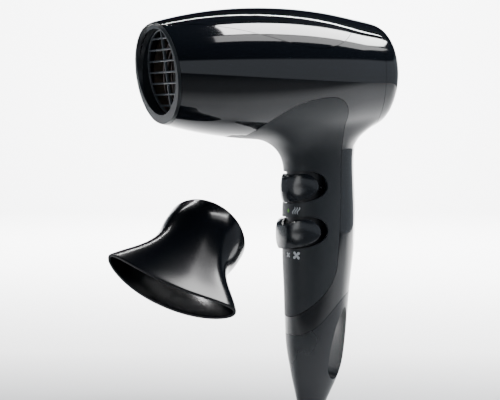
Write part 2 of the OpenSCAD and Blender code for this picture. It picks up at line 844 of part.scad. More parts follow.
module speed_switch() {
    color("#26282b") switch_unit(ROCKERS[1]);
}
module rectifier_diodes() {
    color("#1f2022") for (i = [0:3]) translate([board_x + 3.4, 4.4 * (i - 1.5), 10]) {
        cylinder(h = 5.2, r = 1.5);
        translate([0, 0, -2.5]) cylinder(h = 10.2, r = 0.4);
    }
}
module noise_capacitor() {
    color("#c79a2b") translate([board_x + 1.8, -6.5, -18]) cube([6, 13, 15]);
}
module terminal_block() {
    color("#e6e4da") difference() {
        translate([board_x - 6.5, -7.5, carrier_low - 9]) cube([6.3, 15, 7]);
        for (i = [-1:1]) translate([board_x - 8, i * 4.6, carrier_low - 5.5]) rotate([0, 90, 0])
            cylinder(h = 4, r = 1.3);
    }
}
module wire(points, radius = 1) {
    for (i = [0:len(points) - 2]) hull() {
        translate(points[i]) sphere(r = radius, $fn = 10);
        translate(points[i + 1]) sphere(r = radius, $fn = 10);
    }
}
module wiring_loom() {
    color("#b23b34") for (side = [-1, 1]) {
        wire([[board_x + 3, side * 9.4, -14], [board_x + 3, side * 9.6, 6],
            [board_x + 3, side * 9.6, 20], [board_x + 3, side * 9.3, 27],
            [board_x - 0.6, side * 8.4, 34], [-3, side * 7, 40.5],
            [-14, side * 6, axis_z - duct_radius - 3.4], [-22, side * 3.4, axis_z - duct_radius - 3.2],
            [-38, side * 3, axis_z - duct_radius - 3.2]]);
    }
}

// ---- Concentrator ---------------------------------------------------------------------------

collar_radius = outlet_bore - collar_clearance;
nozzle_at = [-71, 0.4, -8.6];
nozzle_roll = 25.68;
nozzle_pitch = -28.5;
nozzle_yaw = 38.82;
// Sections ahead of the collar: distance, half width, half height
NOZZLE = [
    [collar_length, collar_radius, collar_radius],
    [nozzle_length * 0.34, collar_radius - 1.7, collar_radius - 5.6],
    [nozzle_length * 0.6, mouth_half_width * 0.74, mouth_half_height + 3.9],
    [nozzle_length + 1, mouth_half_width * 1.175, mouth_half_height - 0.1]];
mouth_radius = (mouth_half_width ^ 2 + mouth_bow ^ 2) / (2 * mouth_bow);
module nozzle_slice(s, inset, at) {
    translate([-at, 0, 0]) rotate([0, -90, 0]) linear_extrude(height = eps)
        polygon([for (i = [0:31]) let (a = i * 11.25,
            e = 2 + 0.5 * (s[0] - collar_length) / (nozzle_length - collar_length))
            [sign(sin(a)) * abs(sin(a)) ^ (2 / e) * (s[2] - inset),
             sign(cos(a)) * abs(cos(a)) ^ (2 / e) * (s[1] - inset)]]);
}
module nozzle_body(inset, spare = 0) {
    last = len(NOZZLE) - 2;
    for (i = [0:last]) hull() {
        nozzle_slice(NOZZLE[i], inset, NOZZLE[i][0] - (i == 0 ? spare : 0));
        nozzle_slice(NOZZLE[i + 1], inset, NOZZLE[i + 1][0] + (i == last ? spare : 0));
    }
}
module concentrator() {
    color(gloss) translate(nozzle_at) rotate([nozzle_roll, nozzle_pitch, nozzle_yaw]) {
        difference() {
            intersection() {
                nozzle_body(0);
                translate([mouth_radius - nozzle_length, 0, -far / 2])
                    cylinder(h = far, r = mouth_radius, $fn = 128);
            }
            nozzle_body(nozzle_wall, 0.5);
        }
        rotate([0, -90, 0]) difference() {
            cylinder(h = collar_length + eps, r = collar_radius);
            translate([0, 0, -1]) cylinder(h = collar_length + 2, r = collar_radius - nozzle_wall);
        }
    }
}

shell_left();
shell_right();
top_cover();
grip_panel();
end_loop();
outlet_ring();
outlet_grille();
heater_tube();
mica_board_level();
mica_board_upright();
heater_coil_high();
heater_coil_low();
thermostat();
thermal_fuse();
motor_mount();
motor_sleeve();
motor_can();
motor_magnets();
motor_end_cap();
front_bearing();
rear_bearing();
motor_brushes();
motor_shaft();
armature();
commutator();
impeller();
fan_guard();
rear_cap();
filter_frame();
filter_mesh();
switch_carrier();
rocker_pins();
heat_rocker();
speed_rocker();
switch_board();
heat_switch();
speed_switch();
rectifier_diodes();
noise_capacitor();
terminal_block();
wiring_loom();
cord_gland();
cord_clamp();
clamp_screws();
shell_screws();
concentrator();
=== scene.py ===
import math

import bpy
import bmesh
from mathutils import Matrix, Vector


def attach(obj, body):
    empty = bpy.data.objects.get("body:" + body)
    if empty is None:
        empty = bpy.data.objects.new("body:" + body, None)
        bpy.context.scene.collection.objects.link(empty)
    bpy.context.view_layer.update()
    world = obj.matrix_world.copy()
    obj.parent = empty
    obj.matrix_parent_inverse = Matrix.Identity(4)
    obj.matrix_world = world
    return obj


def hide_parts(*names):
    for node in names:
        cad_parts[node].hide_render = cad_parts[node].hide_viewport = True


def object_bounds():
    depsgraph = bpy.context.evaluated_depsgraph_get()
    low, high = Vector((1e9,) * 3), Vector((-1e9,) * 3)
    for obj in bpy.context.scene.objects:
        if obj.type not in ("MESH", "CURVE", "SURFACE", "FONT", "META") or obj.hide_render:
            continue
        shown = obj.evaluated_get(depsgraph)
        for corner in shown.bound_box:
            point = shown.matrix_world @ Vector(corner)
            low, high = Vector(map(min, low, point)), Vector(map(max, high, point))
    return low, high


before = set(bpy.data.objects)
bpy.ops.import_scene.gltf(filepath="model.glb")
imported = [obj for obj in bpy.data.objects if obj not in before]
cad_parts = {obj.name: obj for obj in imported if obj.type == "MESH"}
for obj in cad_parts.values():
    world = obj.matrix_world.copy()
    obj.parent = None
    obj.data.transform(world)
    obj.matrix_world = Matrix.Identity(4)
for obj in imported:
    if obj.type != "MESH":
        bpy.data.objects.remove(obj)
cad_low, cad_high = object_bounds()
mm = 0.001

# ---- Camera, floor and lights ----------------------------------------------------------------
# A roll of white paper runs away from the camera, and two soft boxes hang over the barrel. Weaker
# boxes stand at the front and the rear, and a wash lights the paper behind. The camera stands low
# in front of the outlet and looks along the dryer's left side.
view_azimuth = math.radians(-28)
view_elevation = math.radians(3)
view_distance = 0.8
picture_width = 0.2835
aim = Vector((-0.0344, 0.0183, 0.0085))
toward = Vector((math.sin(view_azimuth) * math.cos(view_elevation),
                 -math.cos(view_azimuth) * math.cos(view_elevation),
                 math.sin(view_elevation)))
camera_data = bpy.data.cameras.new("camera")
camera_data.lens = 36 * view_distance / picture_width
camera_data.clip_start = 0.01
camera = bpy.data.objects.new("camera", camera_data)
camera.location = aim + toward * view_distance
camera.rotation_euler = (-toward).to_track_quat("-Z", "Y").to_euler()
bpy.context.scene.collection.objects.link(camera)
bpy.context.scene.camera = camera


class Socket:
    """A shader value that can be written in a sum."""

    def __init__(self, tree, output):
        self.tree = tree
        self.output = output

    def maths(self, operation, *values):
        made = self.tree.nodes.new("ShaderNodeMath")
        made.operation = operation
        for slot, value in zip(made.inputs, values):
            feed(self.tree, slot, value)
        return Socket(self.tree, made.outputs[0])

    def __add__(self, other):
        return self.maths("ADD", self, other)

    def __radd__(self, other):
        return self.maths("ADD", other, self)

    def __sub__(self, other):
        return self.maths("SUBTRACT", self, other)

    def __rsub__(self, other):
        return self.maths("SUBTRACT", other, self)

    def __mul__(self, other):
        return self.maths("MULTIPLY", self, other)

    def __rmul__(self, other):
        return self.maths("MULTIPLY", other, self)


def feed(tree, slot, value):
    if isinstance(value, Socket):
        tree.links.new(value.output, slot)
    elif slot.type == "RGBA" and len(value) == 3:
        slot.default_value = (*value, 1)
    else:
        slot.default_value = value


class Finish:
    """A material and the one way its nodes are added."""

    def __init__(self, name, colour, roughness, **fixed):
        self.material = bpy.data.materials.new(name)
        self.material.use_nodes = True
        self.material.diffuse_color = (*colour, 1)
        self.tree = self.material.node_tree
        self.shader = self.tree.nodes["Principled BSDF"]
        self.set("Base Color", colour)
        self.set("Roughness", roughness)
        for socket, value in fixed.items():
            self.set(socket.replace("_", " "), value)
        self.place = self.node("ShaderNodeTexCoord", output="Object")

    def set(self, socket, value):
        feed(self.tree, self.shader.inputs[socket], value)

    def node(self, kind, settings=None, output=0, **values):
        made = self.tree.nodes.new(kind)
        for key, value in (settings or {}).items():
            setattr(made, key, value)
        for key, value in values.items():
            feed(self.tree, made.inputs[key.replace("_", " ")], value)
        return Socket(self.tree, made.outputs[output])

    def noise(self, scale, detail=3.0, rough=0.5):
        return self.node("ShaderNodeTexNoise", Vector=self.place, Scale=scale, Detail=detail, Roughness=rough)

    def mix(self, factor, a, b):
        made = self.tree.nodes.new("ShaderNodeMix")
        made.data_type = "RGBA"
        feed(self.tree, made.inputs[0], factor)
        feed(self.tree, made.inputs[6], a)
        feed(self.tree, made.inputs[7], b)
        return Socket(self.tree, made.outputs[2])

    def bump(self, height, depth, strength=1.0):
        self.set("Normal", self.node("ShaderNodeBump", Height=height, Distance=depth, Strength=strength))


def moulded(name, colour, roughness, grain=900, depth=0.00002, spread=0.06, tint=0.25, **fixed):
    """A moulded plastic: faint cloudiness in its colour, uneven polish and a fine grain."""
    f = Finish(name, colour, roughness, **fixed)
    cloud = f.noise(22, 4)
    fine = f.noise(grain, 2)
    low = tuple(c * (1 - tint) for c in colour)
    high = tuple(c * (1 + tint) for c in colour)
    f.set("Base Color", f.mix(cloud, low, high))
    f.set("Roughness", roughness - spread / 2 + cloud * spread)
    f.bump(fine, depth)
    return f.material


def paint(obj, material):
    obj.data.materials.clear()
    obj.data.materials.append(material)


floor_z = cad_low.z - 0.004
bpy.ops.object.select_all(action="DESELECT")
bpy.ops.mesh.primitive_plane_add(size=8, location=(0, -1.6, floor_z))
paper = bpy.context.object
paper.name = "paper_sweep"
bpy.ops.object.mode_set(mode="EDIT")
bpy.ops.mesh.select_all(action="DESELECT")
sweep_mesh = bmesh.from_edit_mesh(paper.data)
for edge in sweep_mesh.edges:
    edge.select = all(v.co.y > 0 for v in edge.verts)
sweep_mesh.select_flush_mode()
bpy.ops.mesh.extrude_region_move(TRANSFORM_OT_translate={"value": (0, 0, 0.8)})
bpy.ops.mesh.select_all(action="SELECT")
bpy.ops.transform.resize(value=(0.24, 1, 1), center_override=(0, 0, floor_z))
bpy.ops.object.mode_set(mode="OBJECT")
bend = paper.modifiers.new("bend", "BEVEL")
bend.width = 0.5
bend.segments = 16
bpy.ops.object.modifier_apply(modifier="bend")
bpy.ops.object.transform_apply(location=True, rotation=True, scale=True)
paper.rotation_euler = (0, 0, view_azimuth)
bpy.ops.object.shade_smooth()
paper_finish = Finish("paper_with_painted_shade", (0.86, 0.86, 0.87), 0.9)
# The paper is painted near black ahead of the dryer and mid grey under it, and is pale only behind: painted shade
# standing in for an unlit floor, so that the glossy barrel reflects dark there.
depth = paper_finish.node("ShaderNodeSeparateXYZ", output=1, Vector=paper_finish.place)
ahead = paper_finish.node("ShaderNodeMapRange", Value=depth, From_Min=-0.26, From_Max=-0.14)
near = paper_finish.node("ShaderNodeMapRange", Value=depth, From_Min=0.0, From_Max=0.22)
pale = paper_finish.mix(paper_finish.noise(3), (0.88, 0.88, 0.885), (0.91, 0.91, 0.915))
under = paper_finish.mix(ahead, (0.1, 0.105, 0.11), (0.42, 0.43, 0.445))
paper_finish.set("Base Color", paper_finish.mix(near, under, pale))
paper_finish.bump(paper_finish.noise(500), 0.00002)
paint(paper, paper_finish.material)


def soft_box(name, place, target, wide, tall, power):
    light = bpy.data.lights.new(name, "AREA")
    light.shape = "RECTANGLE"
    light.size = wide
    light.size_y = tall
    light.energy = power
    lamp = bpy.data.objects.new(name, light)
    lamp.location = place
    lamp.rotation_euler = (Vector(target) - Vector(place)).to_track_quat("-Z", "Y").to_euler()
    bpy.context.scene.collection.objects.link(lamp)


soft_box("band_box", (0.39, -0.117, 0.7), (0.39, -0.117, 0.0), 0.66, 0.27, 15)
soft_box("band_fade", (0.42, -0.36, 0.7), (0.42, -0.36, 0.0), 0.8, 0.18, 1.6)
soft_box("front_box", (-0.95, -0.55, 0.25), (-0.02, 0, 0.0), 0.25, 0.8, 1.6)
soft_box("rear_box", (0.8, 0.4, 0.0), (0.01, 0, -0.02), 0.35, 0.5, 3.0)
soft_box("paper_wash", (0.38, 0.72, 1.25), (1.12, 2.12, 0.0), 1.7, 0.4, 300)
# The room is dark overhead and pale near the level of the eye
world = bpy.data.worlds.new("studio_room")
world.use_nodes = True
air = world.node_tree
way = air.nodes.new("ShaderNodeSeparateXYZ")
air.links.new(air.nodes.new("ShaderNodeTexCoord").outputs["Generated"], way.inputs[0])
level = air.nodes.new("ShaderNodeMapRange")
level.inputs["From Min"].default_value = 0.34
level.inputs["From Max"].default_value = 0.38
air.links.new(way.outputs[2], level.inputs["Value"])
shade = air.nodes.new("ShaderNodeMix")
shade.data_type = "RGBA"
shade.inputs[6].default_value = (0.46, 0.5, 0.55, 1)
shade.inputs[7].default_value = (0.004, 0.005, 0.007, 1)
air.links.new(level.outputs[0], shade.inputs[0])
air.links.new(shade.outputs[2], air.nodes["Background"].inputs["Color"])
bpy.context.scene.world = world


# ---- Housing: the shape of barrel and handle ------------------------------------------------
# Barrel and handle flow into one another, moulded as two half shells in black ABS.
# The whole body is shaped once as a cage and smoothed; the outer pieces are cut from copies of it.
rim_x = -100.8
rear_x = 39.0
axis_z = 79.2
cage_sides = 32
cage_spread = 6 / (4 + 2 * math.cos(math.tau / cage_sides))


def barrel_radius(x):
    behind = x - rim_x
    if behind < 73:
        return 36.4 - 9.6 * ((73 - behind) / 73) ** 2.2
    if behind < 127.8:
        return 36.4 - 6.1 * ((behind - 73) / 54.8) ** 2
    return 30.3 * max(0, 1 - ((behind - 127.8) / 12) ** 4) ** 0.25


def pick(kind, test):
    """In edit mode, selects just the vertices, edges or faces that pass a test."""
    bpy.ops.mesh.select_mode(type={"verts": "VERT", "edges": "EDGE", "faces": "FACE"}[kind])
    bpy.ops.mesh.select_all(action="DESELECT")
    shape = bmesh.from_edit_mesh(bpy.context.object.data)
    for part in getattr(shape, kind):
        if test(part):
            part.select_set(True)
    shape.select_flush_mode()
    bmesh.update_edit_mesh(bpy.context.object.data)


def start(name, make, **how):
    """Adds a primitive with nothing else selected and opens it in edit mode."""
    bpy.ops.object.select_all(action="DESELECT")
    make(**how)
    made = bpy.context.object
    made.name = name
    bpy.ops.object.transform_apply(location=True, rotation=True, scale=True)
    bpy.ops.object.mode_set(mode="EDIT")
    bpy.ops.mesh.select_mode(type="VERT")
    bpy.ops.mesh.select_all(action="SELECT")
    return made


def only(piece):
    bpy.ops.object.select_all(action="DESELECT")
    piece.select_set(True)
    bpy.context.view_layer.objects.active = piece


def apply_modifier(piece, kind, **settings):
    step = piece.modifiers.new("step", kind)
    for key, value in settings.items():
        setattr(step, key, value)
    only(piece)
    bpy.ops.object.modifier_apply(modifier="step")


rings = [-108, -100.8, -92, -81, -70, -58.5, -47, -36, -25, -14, -3, 8, 19, 30, 34.6, 37.4, 38.6]
master = start("body_form", bpy.ops.mesh.primitive_circle_add, vertices=cage_sides,
               radius=barrel_radius(rings[0]) * cage_spread * mm,
               location=(rings[0] * mm, 0, axis_z * mm), rotation=(0, math.pi / 2, 0))
bpy.ops.mesh.select_all(action="SELECT")
for before, ring in zip(rings, rings[1:]):
    bpy.ops.mesh.extrude_region_move(TRANSFORM_OT_translate={"value": ((ring - before) * mm, 0, 0)})
    grow = barrel_radius(ring) / barrel_radius(before)
    bpy.ops.transform.resize(value=(1, grow, grow), center_override=(ring * mm, 0, axis_z * mm))
bpy.ops.mesh.extrude_region_move(TRANSFORM_OT_translate={"value": ((rear_x - rings[-1]) * mm, 0, 0)})
bpy.ops.transform.resize(value=(1, 0.72, 0.72), center_override=(rear_x * mm, 0, axis_z * mm))
bpy.ops.mesh.extrude_region_move()
bpy.ops.transform.resize(value=(1, 0.4, 0.4), center_override=(rear_x * mm, 0, axis_z * mm))
bpy.ops.mesh.edge_face_add()
pick("edges", lambda e: all(v.co.x < -107.9 * mm for v in e.verts))
bpy.ops.mesh.edge_face_add()


def under(face):
    middle = face.calc_center_median()
    lean = math.atan2(middle.y, axis_z * mm - middle.z)
    return -36 * mm < middle.x < 30 * mm and abs(lean) < math.radians(33)


# Each station of the handle: height at the front and rear, front, rear and half width
stations = [(40.4, 44.6, -28.6, 23.7, 17.0), (34.5, 39.0, -22.8, 20.6, 15.9), (27, 30, -20.2, 20.1, 15.6),
            (16, 17, -20.6, 20.6, 16.1), (6, 6, -21.1, 21.1, 16.5), (-4, -4, -21.3, 21.3, 16.6),
            (-16, -16, -21.3, 20.8, 16.4), (-29, -29, -21.0, 19.4, 15.7), (-42, -42, -20.3, 17.7, 14.8),
            (-54, -54, -20.1, 16.8, 14.3), (-66, -66, -19.7, 15.7, 13.8), (-76, -76, -18.9, 14.7, 13.1),
            (-84, -84, -17.2, 13.6, 12.1), (-91, -91, -16.2, 11.2, 10.7), (-97, -97, -14.8, 8.4, 9.1),
            (-102.5, -102.5, -13.7, 5.6, 7.5), (-106.2, -106.2, -13.0, 3.9, 6.6), (-108, -108, -12.4, 3.2, 6.1),
            (-108, -108, -8.2, -1.2, 2.6)]
pick("faces", under)
bpy.ops.mesh.extrude_region_move()
shape = bmesh.from_edit_mesh(master.data)
along = shape.verts.layers.float.new("along")
across = shape.verts.layers.float.new("across")
for v in shape.verts:
    if v.select:
        v[along] = (v.co.x / mm + 3) / 33
        v[across] = math.atan2(v.co.y, axis_z * mm - v.co.z) / math.radians(33.75)
for number, (z_front, z_rear, front, rear, half) in enumerate(stations):
    if number:
        bpy.ops.mesh.extrude_region_move()
        shape = bmesh.from_edit_mesh(master.data)
        along = shape.verts.layers.float["along"]
        across = shape.verts.layers.float["across"]
    for v in shape.verts:
        if not v.select:
            continue
        a, b = v[along], v[across]
        x, y = a * math.sqrt(max(0, 1 - b * b / 2)), b * math.sqrt(max(0, 1 - a * a / 2))
        turn = math.atan2(y, x)
        reach = math.hypot(x, y) * 1.011
        x = math.copysign(abs(math.cos(turn)) ** (2 / 2.3), x) * reach
        y = math.copysign(abs(math.sin(turn)) ** (2 / 2.3), y) * reach
        v.co.x = ((front + rear) / 2 + x * (rear - front) / 2) * mm
        v.co.y = y * half * mm
        v.co.z = (z_front + (z_rear - z_front) * (x + 1) / 2) * mm
    bmesh.update_edit_mesh(master.data)
bpy.ops.mesh.select_all(action="SELECT")
bpy.ops.mesh.remove_doubles(threshold=0.00001)
bpy.ops.mesh.normals_make_consistent(inside=False)
bpy.ops.object.mode_set(mode="OBJECT")
apply_modifier(master, "SUBSURF", levels=2, render_levels=2)


def offset_copy(name, inward):
    made = master.copy()
    made.data = master.data.copy()
    made.name = name
    bpy.context.scene.collection.objects.link(made)
    if inward:
        apply_modifier(made, "DISPLACE", strength=-inward * mm, mid_level=0, direction="NORMAL")
    return made


def carve(piece, tool, way="DIFFERENCE"):
    apply_modifier(piece, "BOOLEAN", operation=way, solver="EXACT", object=tool)


def outline_tool(name, outline, grow=0.0):
    """A block across the whole width, from a closed outline seen from the side.
    Each corner is (x, z) followed by the handle before it and the handle after it."""
    curve = bpy.data.curves.new(name, "CURVE")
    curve.dimensions = "2D"
    curve.fill_mode = "BOTH"
    curve.resolution_u = 14
    curve.extrude = 60 * mm
    curve.offset = grow * mm
    line = curve.splines.new("BEZIER")
    line.bezier_points.add(len(outline) - 1)
    line.use_cyclic_u = True
    for point, (at, before, after) in zip(line.bezier_points, outline):
        point.co = (at[0] * mm, at[1] * mm, 0)
        point.handle_left = (before[0] * mm, before[1] * mm, 0)
        point.handle_right = (after[0] * mm, after[1] * mm, 0)
    made = bpy.data.objects.new(name, curve)
    bpy.context.scene.collection.objects.link(made)
    made.rotation_euler = (math.pi / 2, 0, 0)
    only(made)
    bpy.ops.object.convert(target="MESH")
    made = bpy.context.object
    bpy.ops.object.transform_apply(location=True, rotation=True, scale=True)
    bpy.ops.object.mode_set(mode="EDIT")
    bpy.ops.mesh.select_all(action="SELECT")
    bpy.ops.mesh.remove_doubles(threshold=0.000001)
    bpy.ops.mesh.normals_make_consistent(inside=False)
    bpy.ops.object.mode_set(mode="OBJECT")
    return made


def corner(x, z):
    return ((x, z), (x, z), (x, z))


top_outline = [
    ((-104.8, 103.0), (-104.8, 103.0), (-64.8, 107.2)), ((-19, 92.1), (-38, 91.7), (-4, 92.1)),
    ((14, 115.6), (10, 102.2), (14, 115.6)), corner(14, 140), corner(-122, 140), corner(-122, 103)]
grip_outline = [
    ((-52, 45.2), (-52, 45.2), (-42, 58.2)), ((-10, 65.7), (-26, 65.7), (0, 65.7)),
    ((5.5, 43.2), (5.5, 57.2), (5.1, 28)), ((4.3, 0), (4.9, 14), (3.6, -14)),
    ((2.5, -30), (3.2, -22), (0, -42)), ((-22, -58), (-12, -50), (-22, -58)), corner(-60, -58), corner(-60, 45.2)]
end_outline = [
    ((-20, -67), (-20, -67), (-6.5, -67)), ((18, -42.5), (4.5, -42.5), (18, -42.5)),
    corner(40, -42.5), corner(40, -140), corner(-40, -140), corner(-40, -67)]
seam = 0.24
top_tool = outline_tool("top_tool", top_outline)
top_tool_wide = outline_tool("top_tool_wide", top_outline, seam)
grip_tool = outline_tool("grip_tool", grip_outline)
grip_tool_wide = outline_tool("grip_tool_wide", grip_outline, seam)
end_tool = outline_tool("end_tool", end_outline)
end_tool_wide = outline_tool("end_tool_wide", end_outline, seam)


def cap_tool(name, spare):
    made = start(name, bpy.ops.mesh.primitive_cylinder_add, vertices=256, radius=(86.2 + spare) * mm,
                 depth=0.14, location=(111.2 * mm, 0, axis_z * mm), rotation=(math.pi / 2, 0, 0))
    bpy.ops.object.mode_set(mode="OBJECT")
    return made


def rim_tool(name, back):
    """Everything ahead of the raked rim, moved back a little."""
    lean = math.radians(-8)
    middle = Vector((rim_x, 0, axis_z)) * mm + Vector((math.cos(lean), 0, -math.sin(lean))) * (back * mm - 0.1)
    made = start(name, bpy.ops.mesh.primitive_cube_add, size=0.2, location=middle, rotation=(0, lean, 0))
    bpy.ops.object.mode_set(mode="OBJECT")
    return made


def window_outline(z):
    return [((-25.9, z + 6.6), (-25.9, z + 6.6), (-21, z + 11.1)), ((-3.5, z + 1.3), (-4.1, z + 11.8), (-3.9, z - 5.4)),
            ((-25.9, z - 9.3), (-14, z - 8.1), (-25.9, z - 9.3))]


cap_cut, cap_cut_wide = cap_tool("cap_cut", 0), cap_tool("cap_cut_wide", 0.2)
rim_cut, ring_cut = rim_tool("rim_cut", 1.75), rim_tool("ring_cut", 1.6)
rocker_heights = [15.8, -9.5]
window_tools = [outline_tool("window_tool", window_outline(z)) for z in rocker_heights]


# ---- Half shells -----------------------------------------------------------------------------
# The left and right shells carry everything else. Moulded in high-gloss black ABS, with a seat
# sunk for the top cover and for the grip panel, and screwed together along the middle.
seat = offset_copy("seat", 1.5)
hollow = offset_copy("hollow", 3.0)
shell = offset_copy("shell", 0)
carve(shell, top_tool_wide)
carve(shell, grip_tool_wide)
carve(shell, seat, "UNION")
carve(shell, hollow)
for tool in [rim_cut, cap_cut_wide, end_tool_wide, *window_tools]:
    carve(shell, tool)
gloss = moulded("gloss_black", (0.0042, 0.0055, 0.008), 0.07, grain=260, depth=0.0000012, spread=0.03, tint=0.12,
                Coat_Weight=0.6, Coat_Roughness=0.03, IOR=1.55)


def half_of(piece, name, side):
    made = piece.copy()
    made.data = piece.data.copy()
    made.name = name
    bpy.context.scene.collection.objects.link(made)
    block = start("half_block", bpy.ops.mesh.primitive_cube_add, size=0.4, location=(0, side * 0.20003, 0))
    bpy.ops.object.mode_set(mode="OBJECT")
    carve(made, block, "INTERSECT")
    bpy.data.objects.remove(block)
    return made


def finish_piece(piece, material, body, slot, *nodes, sharp=32):
    only(piece)
    bpy.ops.object.mode_set(mode="EDIT")
    bpy.ops.mesh.select_all(action="SELECT")
    bpy.ops.mesh.remove_doubles(threshold=0.000002)
    bpy.ops.object.mode_set(mode="OBJECT")
    bpy.ops.object.shade_smooth_by_angle(angle=math.radians(sharp))
    paint(piece, material)
    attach(piece, body)
    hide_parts(*nodes)


shell_halves = [half_of(shell, "shell_left_moulding", -1), half_of(shell, "shell_right_moulding", 1)]
finish_piece(shell_halves[0], gloss, "body", "gloss_shell", "shell_left")
finish_piece(shell_halves[1], gloss, "body", "gloss_shell", "shell_right")


# ---- Top cover -------------------------------------------------------------------------------
# A thin curved cover clipped into the top of the barrel, moulded in the same glossy black ABS.
# Its edge follows a long S from beside the outlet to a rounded end ahead of the rear cap.
cover_inside = offset_copy("cover_inside", 1.4)
cover = offset_copy("top_cover_moulding", 0)
for tool, way in ((top_tool, "INTERSECT"), (cover_inside, "DIFFERENCE"), (rim_cut, "DIFFERENCE")):
    carve(cover, tool, way)
finish_piece(cover, gloss, "body", "gloss_shell", "top_cover")


# ---- Grip panel ------------------------------------------------------------------------------
# A thin panel wrapped round the front and sides of the handle and up the barrel's underside.
# Moulded with a fine matte grain that is soft to hold, and clipped into the shells.
panel = offset_copy("grip_panel_moulding", 0)
carve(panel, grip_tool, "INTERSECT")
carve(panel, cover_inside)
for tool in window_tools:
    carve(panel, tool)
matte = moulded("soft_matte_grip", (0.0125, 0.016, 0.0205), 0.46, grain=2600, depth=0.000035, spread=0.06, tint=0.1)
finish_piece(panel, matte, "body", "soft_matte", "grip_panel")


# ---- End piece with the hanging loop ---------------------------------------------------------
# The lower end of the handle is a separate satin moulding with a teardrop hole for a wall hook.
# A short collar inside the shells holds it, and the shells' screws close round that collar.
loop_outline = [
    ((10.4, -51.1), (9.2, -51.9), (11.4, -50.7)), ((12.8, -64), (13.1, -57), (12.6, -71)),
    ((9.8, -87.6), (11.1, -81), (9.2, -91)), ((4.6, -92.8), (7.4, -92.9), (1.8, -92.8)),
    ((-0.55, -86), (-0.3, -89.6), (-1.0, -77.5)), ((4.4, -60.5), (2.0, -66), (6.6, -55.6))]
end_piece = offset_copy("end_moulding", 0)
carve(end_piece, end_tool, "INTERSECT")
loop_tool = outline_tool("loop_tool", loop_outline)
carve(end_piece, loop_tool)
cord_hole = start("cord_hole", bpy.ops.mesh.primitive_cylinder_add, vertices=64, radius=5.2 * mm, depth=0.05,
                  location=(-6.4 * mm, 0, -100 * mm))
bpy.ops.object.mode_set(mode="OBJECT")
carve(end_piece, cord_hole)
apply_modifier(end_piece, "BEVEL", width=0.7 * mm, segments=3, limit_method="ANGLE", angle_limit=math.radians(50))
satin = moulded("satin_black_end", (0.0115, 0.0145, 0.019), 0.27, grain=1400, depth=0.00001, spread=0.06, tint=0.12,
                Coat_Weight=0.15, Coat_Roughness=0.2)
finish_piece(end_piece, satin, "body", "satin_black", "end_loop")
apply_modifier(end_piece, "WEIGHTED_NORMAL", keep_sharp=True, weight=80)


# ---- Rear cap --------------------------------------------------------------------------------
# The domed cap pulls off the rear end so that the filter behind it can be cleaned.
# Moulded in glossy black ABS with four rings of intake slots crossed by six spokes.
cap = offset_copy("rear_cap_moulding", 0)
cap_inside = offset_copy("cap_inside", 2.2)
carve(cap, cap_cut, "INTERSECT")
carve(cap, cap_inside)
for inner in (5, 9.2, 13.4, 17.6):
    ring = start("slot_ring", bpy.ops.mesh.primitive_cylinder_add, vertices=96, radius=(inner + 2.4) * mm, depth=0.01,
                 location=(38 * mm, 0, axis_z * mm), rotation=(0, math.pi / 2, 0))
    bpy.ops.object.mode_set(mode="OBJECT")
    core = start("slot_core", bpy.ops.mesh.primitive_cylinder_add, vertices=96, radius=inner * mm, depth=0.02,
                 location=(38 * mm, 0, axis_z * mm), rotation=(0, math.pi / 2, 0))
    bpy.ops.object.mode_set(mode="OBJECT")
    carve(ring, core)
    for number in range(3):
        spoke = start("slot_spoke", bpy.ops.mesh.primitive_cube_add, size=1, location=(38 * mm, 0, axis_z * mm))
        bpy.ops.transform.resize(value=(0.03, 0.0024, 0.1), center_override=(38 * mm, 0, axis_z * mm))
        bpy.ops.transform.rotate(value=math.radians(60) * number, orient_axis="X",
                                 center_override=(38 * mm, 0, axis_z * mm))
        bpy.ops.object.mode_set(mode="OBJECT")
        carve(ring, spoke)
        bpy.data.objects.remove(spoke)
    carve(cap, ring)
    bpy.data.objects.remove(ring)
    bpy.data.objects.remove(core)
finish_piece(cap, gloss, "rear_cap", "gloss_shell", "rear_cap")


# ---- Outlet ring -----------------------------------------------------------------------------
# A heat-resistant ring lines the outlet and closes the raked rim. Moulded in dark grey polymer,
# with a tapered mouth that leads the concentrator's collar into the bore.
lip = offset_copy("outlet_ring_moulding", 0)
face_cut = rim_tool("face_cut", 0)
carve(lip, ring_cut, "INTERSECT")
carve(lip, face_cut)
sleeve = start("sleeve", bpy.ops.mesh.primitive_cylinder_add, vertices=128, radius=24.7 * mm, depth=14 * mm,
               location=(-100 * mm, 0, axis_z * mm), rotation=(0, math.pi / 2, 0))
bpy.ops.object.mode_set(mode="OBJECT")
carve(sleeve, face_cut)
carve(lip, sleeve, "UNION")
mouth = start("mouth", bpy.ops.mesh.primitive_cone_add, vertices=128, radius1=28.6 * mm, radius2=23.3 * mm,
              depth=18 * mm, location=(-107.4 * mm, 0, axis_z * mm), rotation=(0, math.pi / 2, 0))
bpy.ops.object.mode_set(mode="OBJECT")
carve(lip, mouth)
throat = start("throat", bpy.ops.mesh.primitive_cylinder_add, vertices=128, radius=23.1 * mm, depth=40 * mm,
               location=(-100 * mm, 0, axis_z * mm), rotation=(0, math.pi / 2, 0))
bpy.ops.object.mode_set(mode="OBJECT")
carve(lip, throat)
apply_modifier(lip, "BEVEL", width=0.45 * mm, segments=3, limit_method="ANGLE", angle_limit=math.radians(40))
ring_finish = moulded("dark_heatproof_ring", (0.012, 0.0155, 0.019), 0.3, grain=1500, depth=0.000012, spread=0.08,
                      tint=0.12)
finish_piece(lip, ring_finish, "body", "dark_heatproof", "outlet_ring")


